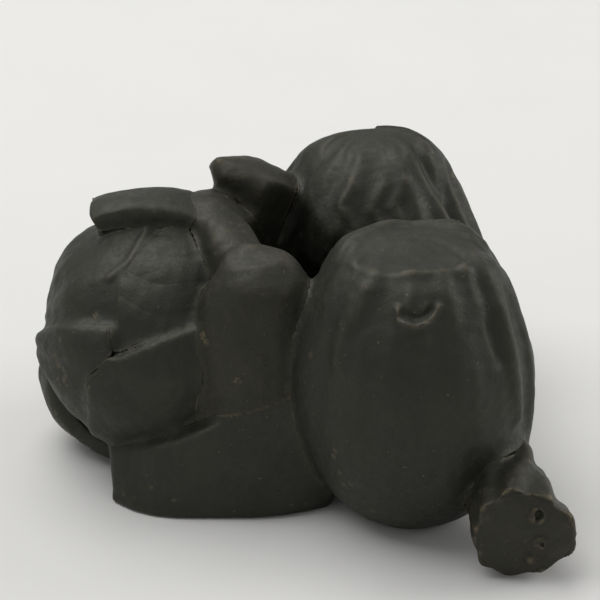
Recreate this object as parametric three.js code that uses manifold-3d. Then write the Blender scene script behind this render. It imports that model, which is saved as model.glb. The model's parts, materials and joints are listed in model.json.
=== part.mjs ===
// A lid rest for the tea ceremony in dark cast bronze: a twig that carries two ribbed round fruits and one
// scaled bud, set round a well. Millimetres, X right, Y away from the viewer, Z up, the ground at Z = 0.
import * as THREE from 'three';
import Module from 'manifold-3d';

const wasm = await Module();
wasm.setup();

// Driving dimensions. Each can be changed by itself.
const SEAM = 0.3;             // clearance between two forms that touch
const FRUIT_HEIGHT = 48.6;    // both fruits stand on the ground and carry the lid
const FRONT_RADIUS = 19.1;
const REAR_RADIUS = 19.3;
const RIB_DEPTH = 0.5;
const RIB_COUNT = 12;
const DIMPLE_DEPTH = 2.6;
const DIMPLE_RADIUS = 8.5;
const BUD_RADIUS = 18.7;
const BUD_NOSE = 18.2;        // length of the bud's round end, from its widest section
const BUD_ROOT = 16;          // length of the other end, towards the well
const SCALE_LIFT = 3.3;       // how far a scale's outer face stands off the bud
const SCALE_THICK = 3.4;
const WELL_WIDE = 10.8;       // half width of the well's mouth, along X
const WELL_DEEP = 11;         // and along Y
const FLANK = 13.3;           // the well keeps this far from each fruit's axis
const CORE_SPREAD = 4.5;      // the cored hollow under the well is wider than its mouth by this
const TWIG_RADIUS = 6.4;
const HEEL_RADIUS = 7.9;
const PITH_RADIUS = 1.1;

// Places on the ground of each form's axis. The bud's place is the middle of its widest section.
const FRONT = new THREE.Vector3(18, 0, FRUIT_HEIGHT / 2);
const REAR = new THREE.Vector3(12.9, 35, FRUIT_HEIGHT / 2);
const BUD = new THREE.Vector3(-24, 20, 22.7);
const WELL = new THREE.Vector3(2, 21.5, 30);
const HEEL = new THREE.Vector3(34.6, -24.6, HEEL_RADIUS);

const bronze = (colour, roughness) => ({ color: colour, roughness, metalness: 0.9 });
const DARK = bronze('#2f2e29', 0.5);
const WORN = bronze('#3b352b', 0.45);

const clamp01 = (t) => Math.min(1, Math.max(0, t));
const smooth = (a, b, x) => {
  const t = clamp01((x - a) / (b - a));
  return t * t * (3 - 2 * t);
};
const lerp = (a, b, t) => a + (b - a) * t;
const rad = THREE.MathUtils.degToRad;

function indexed(points, faces) {
  const geometry = new THREE.BufferGeometry();
  geometry.setAttribute('position', new THREE.Float32BufferAttribute(points.flat(), 3));
  geometry.setIndex(faces.flat());
  geometry.computeVertexNormals();
  return geometry;
}

// A closed form over a sphere's grid: at(theta, phi) gives a point, theta from 0 at one pole to PI.
function ball(rows, cols, at) {
  const points = [at(0, 0)];
  for (let j = 1; j < rows; j++) {
    for (let i = 0; i < cols; i++) points.push(at(Math.PI * j / rows, 2 * Math.PI * i / cols));
  }
  points.push(at(Math.PI, 0));
  const last = points.length - 1;
  const id = (j, i) => 1 + (j - 1) * cols + (i % cols);
  const faces = [];
  for (let i = 0; i < cols; i++) {
    faces.push([0, id(1, i), id(1, i + 1)], [last, id(rows - 1, i + 1), id(rows - 1, i)]);
    for (let j = 1; j < rows - 1; j++) {
      faces.push([id(j, i), id(j + 1, i), id(j + 1, i + 1)], [id(j, i), id(j + 1, i + 1), id(j, i + 1)]);
    }
  }
  return indexed(points, faces);
}

// A closed sheet with thickness: at(s, w, side) gives a point, s and w from 0 to 1, side 1 outer and 0 inner.
function sheet(rows, cols, at) {
  const points = [];
  for (const side of [1, 0]) {
    for (let j = 0; j <= rows; j++) {
      for (let i = 0; i <= cols; i++) points.push(at(j / rows, i / cols, side));
    }
  }
  const id = (side, j, i) => (1 - side) * (rows + 1) * (cols + 1) + j * (cols + 1) + i;
  const faces = [];
  const quad = (a, b, c, d) => faces.push([a, b, c], [a, c, d]);
  for (let j = 0; j < rows; j++) {
    for (let i = 0; i < cols; i++) {
      quad(id(1, j, i), id(1, j, i + 1), id(1, j + 1, i + 1), id(1, j + 1, i));
      quad(id(0, j, i), id(0, j + 1, i), id(0, j + 1, i + 1), id(0, j, i + 1));
    }
    quad(id(1, j, 0), id(1, j + 1, 0), id(0, j + 1, 0), id(0, j, 0));
    quad(id(1, j + 1, cols), id(1, j, cols), id(0, j, cols), id(0, j + 1, cols));
  }
  for (let i = 0; i < cols; i++) {
    quad(id(1, 0, i + 1), id(1, 0, i), id(0, 0, i), id(0, 0, i + 1));
    quad(id(1, rows, i), id(1, rows, i + 1), id(0, rows, i + 1), id(0, rows, i));
  }
  return indexed(points, faces);
}

function volume(geometry) {
  const p = geometry.attributes.position;
  const [a, b, c] = [new THREE.Vector3(), new THREE.Vector3(), new THREE.Vector3()];
  let sum = 0;
  for (let k = 0; k < geometry.index.count; k += 3) {
    a.fromBufferAttribute(p, geometry.index.getX(k));
    b.fromBufferAttribute(p, geometry.index.getX(k + 1));
    c.fromBufferAttribute(p, geometry.index.getX(k + 2));
    sum += a.dot(b.cross(c)) / 6;
  }
  return sum;
}

// Faces turned outward, so that the form counts as solid.
function outward(geometry) {
  if (volume(geometry) > 0) return geometry;
  const index = geometry.index.array;
  for (let k = 0; k < index.length; k += 3) [index[k], index[k + 1]] = [index[k + 1], index[k]];
  geometry.computeVertexNormals();
  return geometry;
}

function solid(geometry) {
  const g = outward(geometry);
  const vertProperties = new Float32Array(g.attributes.position.array);
  return new wasm.Manifold(new wasm.Mesh({ numProp: 3, vertProperties, triVerts: new Uint32Array(g.index.array) }));
}

// The same form with its skin moved out by the seam.
function grown(geometry) {
  const g = outward(geometry).clone();
  const p = g.attributes.position;
  const n = g.attributes.normal;
  for (let k = 0; k < p.count; k++) {
    p.setXYZ(k, p.getX(k) + SEAM * n.getX(k), p.getY(k) + SEAM * n.getY(k), p.getZ(k) + SEAM * n.getZ(k));
  }
  return g;
}

// Fruits: round in plan, a little wider low down, ribbed from the dimple on top.
function fruit(centre, radius, taper, turn, peak, dimple) {
  return ball(20, 48, (theta, phi) => {
    const rib = Math.pow(Math.abs(Math.cos(RIB_COUNT * (phi + turn) / 2)), 0.7) - 0.6;
    const ribbed = RIB_DEPTH * rib * smooth(0.15, 0.6, theta) * (1 - smooth(1.3, 2.6, theta));
    const round = Math.pow(Math.max(0, Math.sin(theta)), theta < Math.PI / 2 ? 0.82 : 0.97);
    const r = round * (radius * (1 - taper * Math.cos(theta)) + ribbed);
    const drop = dimple * Math.exp(-Math.pow(r / DIMPLE_RADIUS, 4));
    const half = theta < Math.PI / 2 ? FRUIT_HEIGHT / 2 : FRUIT_HEIGHT / 2 + 2;
    const z = centre.z + half * Math.cos(theta) - (theta < 1.2 ? drop : 0);
    const lean = peak * smooth(-1, 1, Math.cos(theta));
    return [centre.x + r * Math.cos(phi) - lean * 0.3, centre.y + r * Math.sin(phi) + lean, z];
  });
}

// The well goes right through, and its mouth is a round that the two fruits bulge into. Below its neck it
// spreads into the hollow that the casting's core leaves.
function wellReach(phi, spread) {
  const apart = (x, y, axis) => Math.hypot(x - axis.x, y - axis.y) > FLANK - spread;
  for (let r = WELL_DEEP + spread; r > 3; r -= 0.1) {
    const [dx, dy] = [r * Math.cos(phi), r * Math.sin(phi)];
    const round = Math.hypot(dx / (WELL_WIDE + spread), dy / (WELL_DEEP + spread)) <= 1;
    if (round && apart(WELL.x + dx, WELL.y + dy, REAR) && apart(WELL.x + dx, WELL.y + dy, FRONT)) return r;
  }
  return 3;
}

function well() {
  const profile = [[0, -4], [CORE_SPREAD, -4], [CORE_SPREAD, 10], [CORE_SPREAD * 0.9, 18],
    [CORE_SPREAD * 0.4, 26], [0, WELL.z], [0, 42], [0, 60]];
  const rows = profile.length;
  return ball(rows, 32, (theta, phi) => {
    const [spread, z] = profile[Math.min(rows - 1, Math.round(theta / Math.PI * rows))];
    const r = theta <= 0 || theta >= Math.PI ? 0 : wellReach(phi, spread);
    return [WELL.x + r * Math.cos(phi), WELL.y + r * Math.sin(phi), z];
  });
}

// The bud lies along X. turn is the angle round it from the viewer's side (0) to the top (90 degrees),
// along runs from 0 at its nose to PI at its root, and lift is the distance off its skin.
function onBud(along, turn, lift) {
  const length = along < Math.PI / 2 ? BUD_NOSE : BUD_ROOT;
  const c = Math.cos(along);
  const s = Math.pow(Math.max(0, Math.sin(along)), 0.85);
  const r = BUD_RADIUS * s + lift * Math.sqrt(Math.max(0, 1 - c * c));
  const x = BUD.x - (length + lift) * c;
  return [x, BUD.y - r * Math.cos(turn), BUD.z + r * Math.sin(turn)];
}
const alongAt = (x) => Math.acos((BUD.x - x) / (x < BUD.x ? BUD_NOSE : BUD_ROOT));

// A scale on the bud: from one x to another, between a low and a high edge angle, domed and thin at its edges.
function scale({ from, to, low, high, lift, flare = 0, side = 1 }) {
  return sheet(6, 8, (s, w, outer) => {
    const along = lerp(alongAt(from), alongAt(to), s);
    const turn = rad(lerp(low(s), high(s), w));
    const dome = Math.sqrt(Math.max(0, 1 - Math.pow(2 * w - 1, 4))) * Math.sqrt(Math.max(0.15, 1 - Math.pow(s, 6)));
    const top = lift + flare * s + SCALE_THICK * 0.15 * (dome - 1);
    const [x, y, z] = onBud(along, turn, outer ? top : top - SCALE_THICK);
    return [x, side > 0 ? y : 2 * BUD.y - y, z];
  });
}

// The base scale: a wall from the ground up to a ridge that climbs towards the fruit.
function baseScale(side) {
  const [left, right, thick] = [-31, 5, 5];
  return sheet(10, 6, (s, w, outer) => {
    const x = lerp(left, right, s);
    const ridge = lerp(6, 22.6, Math.pow(smooth(-0.25, 1.05, s), 0.9));
    const z = lerp(-1.5, ridge, w);
    const foot = -5.2 + 5 * Math.pow(1 - clamp01(s / 0.3), 2) + 4 * Math.pow(clamp01((s - 0.6) / 0.4), 2);
    const crest = -3.3 + 6.8 * Math.pow(1 - clamp01(s / 0.4), 2);
    const belly = 1.3 * Math.sin(Math.PI * w);
    const y = lerp(foot, crest, w) - belly + (outer ? 0 : thick - 1.5 * w);
    return [x, side > 0 ? y : 2 * BUD.y - y, z];
  });
}

// The curled scale: an upturned lip below the nose that touches the ground.
function curledScale() {
  return sheet(8, 6, (s, w, outer) => {
    const bend = rad(lerp(-95, 5, s));
    const radius = 11 + (outer ? 1.5 : -1.5);
    const half = lerp(9.5, 4.2, s * s);
    const roll = 2.2 * Math.pow(2 * w - 1, 2);
    const x = -31.6 - radius * Math.cos(bend) + roll;
    return [x, 19.5 + 2.5 * s + half * (2 * w - 1), 12.8 + radius * Math.sin(bend) + roll * 0.6];
  });
}

// Calyx: the swollen collar that joins the bud to each fruit and closes the well on that side.
function collar(centre, half, tip) {
  return ball(12, 20, (theta, phi) => {
    const s = Math.pow(Math.max(0, Math.sin(theta)), 0.56);
    const up = smooth(0.55, 0, theta);
    return [centre.x + half.x * s * Math.cos(phi) + tip.x * up,
      centre.y + half.y * s * Math.sin(phi) + tip.y * up,
      centre.z + half.z * Math.cos(theta) + tip.z * up];
  });
}

// The ring of the calyx round the bud's root. It leans, so that its lip runs from the front fruit's side up
// and back over the bud.
function calyxRing() {
  const [reach, leanUp, leanFront] = [7, 0.4, 0.27];
  return ball(10, 28, (theta, phi) => {
    const s = Math.pow(Math.max(0, Math.sin(theta)), 0.45);
    const y = BUD.y - (BUD_RADIUS + 2.4) * s * Math.cos(phi);
    const z = BUD.z + (BUD_RADIUS + 3.2) * s * Math.sin(phi);
    return [-6 - reach * Math.cos(theta) - leanUp * (z - BUD.z) + leanFront * (BUD.y - y), y, z];
  });
}

// The twig: leaves from under the front fruit and flares to a heel that is cut across.
function twig() {
  const root = new THREE.Vector3(26, 4, 13.5);
  const neck = new THREE.Vector3(33, -9, 10);
  const path = new THREE.QuadraticBezierCurve3(root, neck, HEEL);
  const last = 12;
  return ball(last, 21, (theta, phi) => {
    const t = theta / Math.PI;
    const p = path.getPoint(clamp01(t * 1.02));
    const end = t <= 0 || t >= 1;
    const flute = 0.22 * Math.cos(7 * phi) + 0.5 * Math.cos(3 * phi + 0.6) * smooth(0.5, 1, t);
    const r = end ? 0 : lerp(TWIG_RADIUS, HEEL_RADIUS, smooth(0.45, 0.95, t)) + flute;
    const y = t >= 1 ? HEEL.y : p.y;
    return [p.x + r * Math.cos(phi), y, p.z + r * Math.sin(phi)];
  });
}

function pith(dx, dz, radius) {
  return ball(4, 8, (theta, phi) => [HEEL.x + dx + radius * Math.sin(theta) * Math.cos(phi),
    HEEL.y - 2.6 * Math.cos(theta), HEEL.z + dz + radius * Math.sin(theta) * Math.sin(phi)]);
}

const V = (x, y, z) => new THREE.Vector3(x, y, z);
const forms = [
  ['front_fruit', DARK, fruit(FRONT, FRONT_RADIUS, 0.06, 0.13, 1.2, DIMPLE_DEPTH), []],
  ['rear_fruit', DARK, fruit(REAR, REAR_RADIUS, 0.19, 0.3, 3, DIMPLE_DEPTH / 4), []],
  ['bud_core', DARK, ball(14, 28, (theta, phi) => onBud(theta, phi, 0)), []],
  ['calyx_ring', WORN, calyxRing(), []],
  ['base_scale', DARK, baseScale(1), []],
  ['rear_base_scale', DARK, baseScale(-1), []],
  ['calyx_front', WORN, collar(V(-6.5, 4.5, 21), V(10.8, 8.4, 20.6), V(-1.5, 3, 2)), []],
  ['calyx_rear', WORN, collar(V(-7, 34, 21.5), V(10.5, 9.5, 22), V(-7, -3, 4.5)), []],
  ['twig', WORN, twig(), [pith(1.8, 4.2, PITH_RADIUS * 1.5), pith(2.4, -0.6, PITH_RADIUS), pith(1, -4, PITH_RADIUS)]],
  ['upper_scale', DARK,
    scale({ from: -12, to: -29, low: (s) => 4 + 10 * s ** 6, high: (s) => lerp(92, 50, s ** 3), lift: 1 }), []],
  ['top_scale', DARK, scale({ from: -16, to: -32.5, low: () => 81, high: () => 108, lift: 3.6, flare: 1.2 }), []],
  ['side_scale', DARK, scale({ from: -12, to: -33, low: () => -52, high: (s) => lerp(33, 10, s) - 12 * s ** 8, lift: SCALE_LIFT }), []],
  ['nose_scale', DARK, scale({ from: -30, to: -41.6, low: (s) => lerp(-50, -22, s ** 4), high: (s) => lerp(26, 12, s ** 5), lift: SCALE_LIFT - 1.2 }), []],
  ['curled_scale', DARK, curledScale(), []],
  ['rear_upper_scale', DARK,
    scale({ from: -12, to: -28, low: (s) => 4 + 10 * s ** 6, high: (s) => lerp(80, 48, s ** 3), lift: 1.1, side: -1 }), []],
  ['rear_side_scale', DARK,
    scale({ from: -12, to: -33, low: () => -52, high: (s) => lerp(31, 10, s) - 12 * s ** 8, lift: SCALE_LIFT, side: -1 }), []],
];

// Each form is cut by the grown skins of those before it, then trimmed to the ground. The largest part stays.
const ground = (() => {
  const half = 200;
  return sheet(1, 1, (s, w, side) => [lerp(-half, half, s), lerp(-half, half, w), side ? half : 0]);
})();
const hollow = solid(well());
const rest = new THREE.Group();
rest.name = 'lid_rest';
const before = [];
for (const [name, finish, form, cuts] of forms) {
  let body = solid(form);
  for (const earlier of before) body = body.subtract(earlier);
  for (const cut of cuts) body = body.subtract(solid(cut));
  body = body.subtract(hollow);
  body = body.intersect(solid(ground));
  body = body.decompose().sort((a, b) => b.volume() - a.volume())[0];
  before.push(solid(form).add(solid(grown(form))));
  const mesh = body.getMesh();
  const geometry = new THREE.BufferGeometry();
  geometry.setAttribute('position', new THREE.Float32BufferAttribute(mesh.vertProperties, 3));
  geometry.setIndex(Array.from(mesh.triVerts));
  geometry.computeVertexNormals();
  const piece = new THREE.Mesh(geometry, new THREE.MeshStandardMaterial(finish));
  piece.name = name;
  rest.add(piece);
  console.log(name, 'volume', body.volume().toFixed(0), 'triangles', mesh.triVerts.length / 3);
}

// The frame's origin is under the middle of the whole object.
const box = new THREE.Box3().setFromObject(rest);
const middle = box.getCenter(new THREE.Vector3());
rest.position.set(-middle.x, -middle.y, -box.min.z);
const size = box.getSize(new THREE.Vector3());
console.log('overall', size.x.toFixed(1), size.y.toFixed(1), size.z.toFixed(1));
console.log('shift', rest.position.x.toFixed(2), rest.position.y.toFixed(2), rest.position.z.toFixed(2));

export default rest;
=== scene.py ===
# %% [markdown]
# # A cast bronze lid rest
# The object is a small lid rest for the tea ceremony: two ribbed fruits and one scaled bud on a twig, set
# round a well. It was modelled in wax and cast in bronze, then patinated green-black. Every form is therefore
# soft at its edges, slightly uneven, and worn a little browner where hands touch it.

# %% Load the frame
import json
import math

import bpy
import numpy as np
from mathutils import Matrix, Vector
from mathutils.bvhtree import BVHTree


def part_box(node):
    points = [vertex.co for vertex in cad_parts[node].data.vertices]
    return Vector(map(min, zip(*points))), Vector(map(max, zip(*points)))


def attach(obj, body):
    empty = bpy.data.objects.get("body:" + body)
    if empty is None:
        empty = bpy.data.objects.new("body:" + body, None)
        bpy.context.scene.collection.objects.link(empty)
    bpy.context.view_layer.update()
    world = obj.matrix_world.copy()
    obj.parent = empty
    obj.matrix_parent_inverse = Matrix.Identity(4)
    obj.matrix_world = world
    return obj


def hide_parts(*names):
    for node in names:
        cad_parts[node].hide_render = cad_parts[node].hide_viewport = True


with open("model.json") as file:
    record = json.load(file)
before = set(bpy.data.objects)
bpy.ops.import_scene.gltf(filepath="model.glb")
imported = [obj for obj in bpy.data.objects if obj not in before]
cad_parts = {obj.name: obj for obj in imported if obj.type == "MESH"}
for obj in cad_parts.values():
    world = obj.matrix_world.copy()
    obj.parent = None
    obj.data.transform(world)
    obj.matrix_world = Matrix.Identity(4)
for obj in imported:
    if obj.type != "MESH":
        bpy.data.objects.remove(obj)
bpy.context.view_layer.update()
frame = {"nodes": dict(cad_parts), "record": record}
MM = 0.001

# %% [markdown]
# ## Places
# The forms are described in millimetres from the front fruit's foot: X to the right, Y away from the viewer
# and Z up. The fruit's own box in the frame gives where that is.

# %% Find the foot of each fruit
def middle(node):
    low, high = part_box(node)
    return (np.array(low) + np.array(high)) / 2 / MM


front_mid, rear_mid, bud_mid = middle("front_fruit"), middle("rear_fruit"), middle("bud_core")
FOOT = np.array([front_mid[0], front_mid[1], 0.0])
TO_BUD = bud_mid - FOOT
TO_REAR = np.array([rear_mid[0], rear_mid[1], 0.0]) - FOOT
print("front fruit's foot, mm:", FOOT.round(2))
print("bud from it:", TO_BUD.round(1), "rear fruit from it:", TO_REAR.round(1))

# %% [markdown]
# ## Tools for working the wax
# A founder's wax is warm and soft, so a worked form has no sharp arris. Each piece starts from its form in
# the frame, is rebuilt as a fine even skin and relaxed, and then takes its tool marks: low lumps from the
# fingers, a fine cast grain, and ridges or grooves drawn along lines.

# %% Unevenness of a hand-worked surface
def waves(points, length, count=26, seed=11):
    """Smooth unevenness from -1 to 1 whose bumps are about `length` mm across."""
    rng = np.random.default_rng(seed)
    total = np.zeros(len(points))
    for _ in range(count):
        direction = rng.normal(size=3)
        direction *= 2 * math.pi / (2 * length * np.linalg.norm(direction)) * rng.uniform(0.7, 1.4)
        total += np.sin(points @ direction + rng.uniform(0, 2 * math.pi))
    return total / math.sqrt(count / 2) / 2


# %% Ridges and grooves
def line_distance(points, line):
    """Distance from each point to a line through the given corners, in any number of dimensions."""
    best = np.full(len(points), np.inf)
    for a, b in zip(line[:-1], line[1:]):
        a, b = np.array(a, float), np.array(b, float)
        along = np.clip((points - a) @ (b - a) / ((b - a) @ (b - a)), 0, 1)
        best = np.minimum(best, np.linalg.norm(points - a - along[:, None] * (b - a), axis=1))
    return best


def stroke(points, line, width, height):
    """A ridge (height above 0) or groove (below 0), in mm, with soft sides."""
    return height * np.exp(-((line_distance(points, line) / width) ** 2))


def round_fruit(points, centre):
    """Each point as mm round the fruit from the side that faces the viewer, and mm above the ground."""
    x, y = points[:, 0] - centre[0], points[:, 1] - centre[1]
    radius = np.maximum(np.hypot(x, y), 1e-6)
    return np.stack([np.degrees(np.arctan2(x, -y)) * math.pi / 180 * radius, points[:, 2]], 1)


# %% [markdown]
# ## Running the joints together
# A founder joins waxes with a hot tool, so the whole rest has one skin with a small fillet at each joint.
# That skin is made first, from every form of the frame swelled enough to close the seams, rebuilt as one even
# skin, relaxed, and shrunk back. Each piece is then drawn onto it where the piece shows, and the faces that
# look into a seam move out a little to meet their neighbour.

# %% Rebuild and relax a skin
def rebuilt(mesh, skin, relax):
    """A mesh as an even skin of `skin` mm squares, relaxed."""
    holder = bpy.data.objects.new("skin", mesh)
    bpy.context.scene.collection.objects.link(holder)
    even = holder.modifiers.new("even skin", "REMESH")
    even.mode = "VOXEL"
    even.voxel_size = skin * MM
    soften = holder.modifiers.new("relaxed", "SMOOTH")
    soften.factor = 0.5
    soften.iterations = relax
    graph = bpy.context.evaluated_depsgraph_get()
    result = bpy.data.meshes.new_from_object(holder.evaluated_get(graph))
    bpy.data.objects.remove(holder)
    return result


def points_of(mesh):
    """A mesh's points and their normals, as rows, in metres."""
    co, normal = np.empty(len(mesh.vertices) * 3), np.empty(len(mesh.vertices) * 3)
    mesh.vertices.foreach_get("co", co)
    mesh.vertices.foreach_get("normal", normal)
    return co.reshape(-1, 3), normal.reshape(-1, 3)


def tree_of(mesh):
    return BVHTree.FromPolygons([v.co for v in mesh.vertices], [p.vertices for p in mesh.polygons])


# %% The one skin of the casting
SWELL = 0.4          # mm that each form swells, a little more than half of a wide seam
SHRINK = 0.85        # the share of the swell that is taken back afterwards
WHOLE_GRAIN = 0.45   # mm, the squares of the one skin
WHOLE_RELAX = 34     # rounds of relaxing, which give joints and edges their soft fillet


def whole_skin():
    points, faces = [], []
    for obj in frame["nodes"].values():
        co, normal = points_of(obj.data)
        faces += [[v + len(points) for v in p.vertices] for p in obj.data.polygons]
        points += (co + normal * SWELL * MM).tolist()
    mesh = bpy.data.meshes.new("swelled_forms")
    mesh.from_pydata(points, [], faces)
    skin = rebuilt(mesh, WHOLE_GRAIN, WHOLE_RELAX)
    co, normal = points_of(skin)
    skin.vertices.foreach_set("co", (co - normal * SWELL * SHRINK * MM).ravel())
    skin.update()
    print("whole skin:", len(skin.polygons), "faces")
    return tree_of(skin)


casting = whole_skin()
own_trees = {name: tree_of(obj.data) for name, obj in frame["nodes"].items()}
boxes = {name: [np.array(c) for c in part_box(name)] for name in own_trees}

# %% Draw a point onto the skin
DRAW = 2.5           # mm, beyond which a point is left where it is


def onto_casting(co, normal):
    """Each point drawn onto the casting's skin, where it faces the same way and lies close to it."""
    moved = co.copy()
    for i in range(len(co)):
        hit, way, _, distance = casting.find_nearest(co[i], DRAW * MM)
        if hit is None:
            continue
        same = min(max((normal[i] @ np.array(way) + 0.1) / 0.4, 0), 1)
        close = min(max(DRAW - distance / MM, 0), 1)
        moved[i] += same * close * (np.array(hit) - co[i])
    return moved


# %% Close a seam
REACH = 1.6          # mm within which a neighbour counts
CLOSE_BY = 0.3       # mm that a face in a seam moves out
SEAM_FADE = 0.9      # mm over which that fades as the seam opens


def gap_fill(node, co, normal):
    """How far each hidden face moves out, in mm, to meet its neighbour."""
    fill = np.zeros(len(co))
    for other, tree in own_trees.items():
        low, high = boxes[other]
        close = np.all((co > low - REACH * MM) & (co < high + REACH * MM), axis=1)
        if other == node:
            continue
        for i in np.flatnonzero(close):
            hit, _, _, distance = tree.find_nearest(co[i], REACH * MM)
            if hit is not None:
                facing = normal[i] @ (np.array(hit) - co[i]) / max(distance, 1e-9)
                near = math.exp(-((distance / MM / SEAM_FADE) ** 2))
                fill[i] = max(fill[i], CLOSE_BY * min(max(facing * 1.4, 0), 1) * near)
    return fill


# %% [markdown]
# ## One piece of wax
# The skin's squares are 0.3 to 0.4 mm, finer than any mark on the piece. The unevenness is one field for the
# whole rest, so it runs on over the joints. It fades out at the ground, where the piece stands flat.

# %% Work one piece
LUMP = 7.0           # mm across, a finger's mark in wax
CAST_GRAIN = 1.3     # mm across, the roughness left by the mould
FLAT_FOOT = (0.2, 1.5)  # mm: the marks start at the first height and are full after the second more


def worked(node, marks, skin=0.4, relax=6, lumps=0.32, grain=0.05):
    mesh = rebuilt(frame["nodes"][node].data.copy(), skin, relax)
    piece = bpy.data.objects.new("cast_" + node, mesh)
    bpy.context.scene.collection.objects.link(piece)
    co, normal = points_of(mesh)
    co = co + normal * gap_fill(node, co, normal)[:, None] * MM
    co = onto_casting(co, normal)
    points = co / MM - FOOT
    push = lumps * waves(points, LUMP, seed=3) + grain * waves(points, CAST_GRAIN, 40, seed=5)
    push += marks(points, normal)
    push *= np.clip((points[:, 2] - FLAT_FOOT[0]) / FLAT_FOOT[1], 0, 1)
    co += normal * push[:, None] * MM
    co[:, 2] = np.maximum(co[:, 2], 0)
    mesh.vertices.foreach_set("co", co.ravel())
    mesh.polygons.foreach_set("use_smooth", np.ones(len(mesh.polygons), bool))
    mesh.update()
    pushed = (round(push.min(), 2), round(push.max(), 2))
    print(piece.name, len(mesh.polygons), "faces, pushed by", pushed, "mm")
    return piece


# %% [markdown]
# ## The marks on each form
# The front fruit has a rolled rim round its dimple, a few strong ribs, and a small lip-shaped scar near its
# top with a pit over it. The rear fruit is wrinkled, and layered on its right.

# %% Marks on the fruits
# Each rib: degrees round the fruit from the viewer's side, mm above the ground where it ends, and how far it
# stands out in mm.
FRONT_RIBS = ((-42, 33, 0.7), (2, 36, 0.45), (58, 22, 0.9), (80, 12, 0.8), (-85, 30, 0.4), (130, 20, 0.8),
              (-140, 20, 0.8))
REAR_RIBS = ((-60, 32, 0.6), (-25, 34, 0.6), (28, 30, 0.8), (50, 24, 1.1), (72, 16, 1.2), (95, 12, 1.0),
             (130, 20, 0.8), (180, 20, 0.8), (-120, 20, 0.8))
RIM_LOBES = (-70, -38, -8, 22, 47, 75, 120, 165, -120)  # degrees, the short folds over the rim
WRINKLES = (-4, 1, 4.5)                                 # mm from the viewer's side


def front_marks(points, normal):
    flat = round_fruit(points, (0, 0))
    push = np.zeros(len(points))
    for turn, low, height in FRONT_RIBS:
        push += stroke(flat, [(turn * 0.19, 45), (turn * 0.26, 41.5), (turn * 0.33, low)], 1.6, height)
    push += stroke(flat, [(9.6, 45.5), (11.5, 41.5), (15, 33)], 1.2, -0.9)
    push *= np.clip((46.2 - points[:, 2]) / 2.5, 0, 1)
    centred = np.hypot(points[:, 0], points[:, 1] - 1.0)
    push += stroke(flat, [(-3.2, 41.9), (-3.0, 40.6), (-0.6, 39.9), (1.8, 40.5), (3.2, 42.2)], 0.5, 0.6)
    push += stroke(flat, [(-2.0, 41.5), (0.0, 41.0), (1.8, 41.9)], 0.55, -0.6)
    rim = centred - 9.6 - 1.6 * waves(points, 9.0)
    uneven = 0.65 + 0.5 * waves(points, 5.0, seed=8)
    push += 0.9 * uneven * np.exp(-((rim / 1.3) ** 2)) * np.clip((points[:, 2] - 41) / 2, 0, 1)
    for turn in RIM_LOBES:
        lobe = stroke(flat, [(turn * 0.17, 45), (turn * 0.22, 43), (turn * 0.26, 40)], 1.2, 0.45)
        push += lobe * np.clip((centred - 6.0) / 4.0, 0, 1)
    return push


def rear_marks(points, normal):
    flat = round_fruit(points, TO_REAR)
    push = np.zeros(len(points))
    tip_distance = np.hypot(points[:, 0] - TO_REAR[0], points[:, 1] - TO_REAR[1] - 2.0)
    off_pole = np.clip((tip_distance - 2.0) / 5.0, 0, 1)
    for turn, low, height in REAR_RIBS:
        push += stroke(flat, [(turn * 0.12, 46.5), (turn * 0.22, 42), (turn * 0.33, low)], 1.5, height)
    for x in WRINKLES:
        push += stroke(flat, [(x, 44), (x - 2.0, 41), (x + 0.4, 38), (x - 1.6, 35)], 0.9, 0.4)
    push += stroke(flat, [(8, 46), (14, 38), (17.5, 28), (18.5, 18)], 0.9, -0.9)
    return push * off_pole


# %% [markdown]
# The bud and its scales carry tool lines that run from root to tip, and the calyx ring has a low lip along
# its edge over the bud. The twig is fluted, swells at its cut end, and the cut itself is slightly hollow.

# %% Marks on the bud and its scales
def from_bud(points):
    """Angle round the bud from the viewer's side, in degrees, and x from its middle."""
    p = points - TO_BUD
    return np.degrees(np.arctan2(p[:, 2], -p[:, 1])), p[:, 0]


def veins(pitch, height):
    """Marks that wander from root to tip, `pitch` degrees from a ridge to the next groove."""
    def marks(points, normal):
        turn, x = from_bud(points)
        wander = 6 * np.sin(x / 6.0) + 3 * np.sin(x / 2.7 + 1)
        return height * np.sin((turn + wander) * math.pi / pitch)
    return marks


def bud_marks(points, normal):
    turn, x = from_bud(points)
    push = veins(17, 0.12)(points, normal)
    push += stroke(np.stack([turn * 0.33, x], 1), [(27, 1), (20, -2), (17, -5)], 0.8, 0.5)
    return push


# %% Marks on the twig
CUT_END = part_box("twig")[0][1] / MM - FOOT[1]
CUT_MIDDLE = (16.6, 8.0)   # mm to the right of the fruit's foot, and above the ground
print("the twig is cut", round(-CUT_END, 1), "mm nearer the viewer than the front fruit's foot")


def twig_marks(points, normal):
    turn = np.degrees(np.arctan2(points[:, 2] - 8, points[:, 0] - 15))
    side = np.clip((normal[:, 1] + 0.85) / 0.3, 0, 1)
    flutes = 0.34 * np.sin(turn * math.pi / 19 + 0.35 * points[:, 1])
    flared_rim = 0.7 * np.exp(-(((points[:, 1] - CUT_END) / 2.2) ** 2))
    from_middle = np.hypot(points[:, 0] - CUT_MIDDLE[0], points[:, 2] - CUT_MIDDLE[1])
    hollow_cut = -0.5 * np.exp(-((from_middle / 5.0) ** 4)) * (1 - side)
    return (flutes + flared_rim) * side + hollow_cut + 0.15 * waves(points, 2.5, seed=9)


# %% Marks on the calyx
RING_LEAN = (0.4, 0.27)    # how far the ring's edge moves left per mm upward and per mm away from the viewer
LIP_AT, BEHIND_LIP = 11.6, 14.6   # mm to the right of the bud's middle, where the lean is taken off


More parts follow.
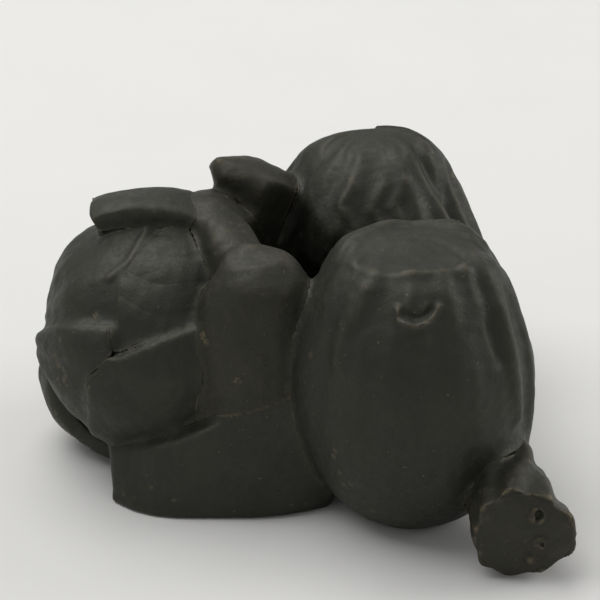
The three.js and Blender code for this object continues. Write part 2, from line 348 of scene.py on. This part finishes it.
def ring_marks(points, normal):
    """A lip along the ring's edge over the bud. The ring leans, so its edge is found across the lean."""
    p = points - TO_BUD
    across = p[:, 0] + RING_LEAN[0] * p[:, 2] + RING_LEAN[1] * p[:, 1]
    lip = 0.7 * np.exp(-(((across - LIP_AT) / 1.3) ** 2))
    lip -= 0.35 * np.exp(-(((across - BEHIND_LIP) / 1.6) ** 2))
    return lip + soft_marks(points, normal)


def soft_marks(points, normal):
    return 0.2 * waves(points, 4.0)


# %% [markdown]
# ## Bronze
# The metal is taken as a bronze under a green-black patina. The patina is thick in hollows and rubbed thin on
# ridges, where a warmer brown shows through. It is satin, neither bright nor dull. A patina is a salt on the
# metal and not the metal itself, so the skin is only half metallic.

# %% Colours and nodes
def linear(code):
    """An sRGB hex colour as the linear values that a shader takes."""
    parts = [int(code[i:i + 2], 16) / 255 for i in (1, 3, 5)]
    return [c / 12.92 if c <= 0.04045 else ((c + 0.055) / 1.055) ** 2.4 for c in parts] + [1.0]


def add(tree, kind, settings=None, links=None):
    """A node with its settings, and links as {input: (node, output) or value}."""
    node = tree.nodes.new(kind)
    for key, value in (settings or {}).items():
        setattr(node, key, value)
    for key, value in (links or {}).items():
        if isinstance(value, tuple) and isinstance(value[0], bpy.types.Node):
            tree.links.new(value[0].outputs[value[1]], node.inputs[key])
        else:
            node.inputs[key].default_value = value
    return node


def per_mm(size):
    """Noise scale, in object units of a metre, whose features are `size` mm across."""
    return 1 / (size * MM)


# %% The patina
CLOUD, SPECK, PORES = 11, 0.9, 0.6   # mm: patches of patina, worn specks, and the pores of the casting
BARE_METAL = "#8c8878"               # shows in a few of the specks


def patinated_bronze(name, deep, skin, rubbed, wear):
    material = bpy.data.materials.new(name)
    material.use_nodes = True
    tree = material.node_tree
    shader = tree.nodes["Principled BSDF"]
    place = add(tree, "ShaderNodeTexCoord")
    cloud = add(tree, "ShaderNodeTexNoise", None, {
        "Vector": (place, "Object"), "Scale": per_mm(CLOUD), "Detail": 5.0, "Roughness": 0.6})
    speck = add(tree, "ShaderNodeTexNoise", None, {
        "Vector": (place, "Object"), "Scale": per_mm(SPECK), "Detail": 3.0, "Roughness": 0.7})
    base = add(tree, "ShaderNodeMix", {"data_type": "RGBA"}, {
        0: (cloud, 0), 6: linear(deep), 7: linear(skin)})
    edge = add(tree, "ShaderNodeNewGeometry")
    ridge = add(tree, "ShaderNodeMapRange", None, {
        "Value": (edge, "Pointiness"), "From Min": 0.505, "From Max": 0.56, "To Min": 0.0, "To Max": wear})
    broken = add(tree, "ShaderNodeMapRange", None, {
        "Value": (speck, 0), "From Min": 0.38, "From Max": 0.62})
    rub = add(tree, "ShaderNodeMath", {"operation": "MULTIPLY"}, {0: (ridge, 0), 1: (broken, 0)})
    worn = add(tree, "ShaderNodeMix", {"data_type": "RGBA"}, {
        0: (rub, 0), 6: (base, 2), 7: linear(rubbed)})
    glint = add(tree, "ShaderNodeMapRange", None, {
        "Value": (speck, 0), "From Min": 0.66, "From Max": 0.74, "To Min": 0.0, "To Max": 0.35})
    metal = add(tree, "ShaderNodeMix", {"data_type": "RGBA"}, {
        0: (glint, 0), 6: (worn, 2), 7: linear(BARE_METAL)})
    tree.links.new(metal.outputs[2], shader.inputs["Base Color"])
    shader.inputs["Metallic"].default_value = 0.55
    rough = add(tree, "ShaderNodeMapRange", None, {
        "Value": (speck, 0), "From Min": 0.3, "From Max": 0.7, "To Min": 0.46, "To Max": 0.66})
    tree.links.new(rough.outputs[0], shader.inputs["Roughness"])
    fine = add(tree, "ShaderNodeTexNoise", None, {
        "Vector": (place, "Object"), "Scale": per_mm(PORES), "Detail": 4.0, "Roughness": 0.65})
    bump = add(tree, "ShaderNodeBump", None, {
        "Height": (fine, 0), "Strength": 0.35, "Distance": 0.25 * MM})
    tree.links.new(bump.outputs[0], shader.inputs["Normal"])
    return material


dark = patinated_bronze("green_black_patinated_bronze", "#262721", "#3b3c33", "#6a6150", 0.55)
warm = patinated_bronze("rubbed_patinated_bronze", "#282822", "#3d3c32", "#73674f", 0.7)
print("finishes:", dark.name, "and", warm.name)

# %% [markdown]
# ## Casting every piece
# Each piece stands for one form of the frame and takes that form's finish.

# %% Make the pieces
WORK = {
    "front_fruit": (front_marks, {}),
    "rear_fruit": (rear_marks, {}),
    "bud_core": (bud_marks, {}),
    "calyx_ring": (ring_marks, {}),
    "calyx_front": (soft_marks, {}),
    "calyx_rear": (soft_marks, {}),
    "twig": (twig_marks, {"skin": 0.3}),
}
slots = {s["node"]: s["material_slot"] for s in frame["record"]["subparts"]}
for node in sorted(frame["nodes"]):
    marks, settings = WORK.get(node, (veins(13, 0.14), {"skin": 0.3}))
    piece = worked(node, marks, **settings)
    piece.data.materials.clear()
    piece.data.materials.append(warm if slots[node] == "worn_bronze" else dark)
    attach(piece, "root")
    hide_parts(node)

# %% [markdown]
# ## The photograph's table, light and camera
# The object stands on a pale sheet that curves up behind it. One large soft light hangs above, a little to the
# left and behind, and a small one stands low on the right. Its near side is therefore dark, and its upper
# faces and right edges catch the light.

# %% A pale sheet
def sheet_floor():
    near, far, wide, rise, bend = -2.0, 1.2, 3.0, 1.6, 0.5
    profile = [(near, 0.0), (far - bend, 0.0)]
    for a in np.linspace(0, math.pi / 2, 13)[1:]:
        profile += [(far - bend + bend * math.sin(a), bend - bend * math.cos(a))]
    profile += [(far, rise)]
    points = [(x, y, z) for y, z in profile for x in (-wide, wide)]
    faces = [(2 * i, 2 * i + 1, 2 * i + 3, 2 * i + 2) for i in range(len(profile) - 1)]
    mesh = bpy.data.meshes.new("pale_sheet")
    mesh.from_pydata(points, [], faces)
    mesh.polygons.foreach_set("use_smooth", np.ones(len(faces), bool))
    floor = bpy.data.objects.new("pale_sheet", mesh)
    bpy.context.scene.collection.objects.link(floor)
    paper = bpy.data.materials.new("matt_white_paper")
    paper.use_nodes = True
    tree = paper.node_tree
    shader = tree.nodes["Principled BSDF"]
    place = add(tree, "ShaderNodeTexCoord")
    fibre = add(tree, "ShaderNodeTexNoise", None, {
        "Vector": (place, "Object"), "Scale": per_mm(30), "Detail": 2.0})
    tone = add(tree, "ShaderNodeMix", {"data_type": "RGBA"}, {
        0: (fibre, 0), 6: linear("#d6d5d2"), 7: linear("#dad9d6")})
    tree.links.new(tone.outputs[2], shader.inputs["Base Color"])
    shader.inputs["Roughness"].default_value = 0.9
    mesh.materials.append(paper)


sheet_floor()

# %% Lights
def soft_light(name, place, aim, size, power):
    data = bpy.data.lights.new(name, "AREA")
    data.shape = "RECTANGLE"
    data.size, data.size_y = size
    data.energy = power
    lamp = bpy.data.objects.new(name, data)
    lamp.location = place
    lamp.rotation_euler = (Vector(aim) - Vector(place)).to_track_quat("-Z", "Y").to_euler()
    bpy.context.scene.collection.objects.link(lamp)


soft_light("overhead_left", (-0.3, 0.2, 0.8), (0, 0, 0.02), (1.0, 0.8), 7.5)
soft_light("right_rim", (0.7, 0.2, 0.35), (0, 0, 0.02), (0.35, 0.5), 2.4)
world = bpy.data.worlds.new("studio")
bpy.context.scene.world = world
world.use_nodes = True
sky = world.node_tree.nodes["Background"]
sky.inputs["Color"].default_value = linear("#e9eaec")
sky.inputs["Strength"].default_value = 0.43

# %% Camera
ELEVATION = math.radians(28)
DISTANCE = 450.0
LOOK_AT = np.array([-18.0, 17.0, 28.0])       # from the front fruit's foot, mm
PIXELS_PER_MM, WIDTH = 6.1, 600               # what the photograph shows of it, and the photograph's width
SENSOR = 36                                   # mm
eye = FOOT + LOOK_AT + DISTANCE * np.array([0, -math.cos(ELEVATION), math.sin(ELEVATION)])
camera_data = bpy.data.cameras.new("camera")
camera_data.sensor_width = SENSOR
camera_data.lens = SENSOR * PIXELS_PER_MM * DISTANCE / WIDTH
camera = bpy.data.objects.new("camera", camera_data)
camera.location = Vector(eye * MM)
camera.rotation_euler = (math.pi / 2 - ELEVATION, 0, 0)
bpy.context.scene.collection.objects.link(camera)
bpy.context.scene.camera = camera
bpy.context.scene.view_settings.view_transform = "Standard"
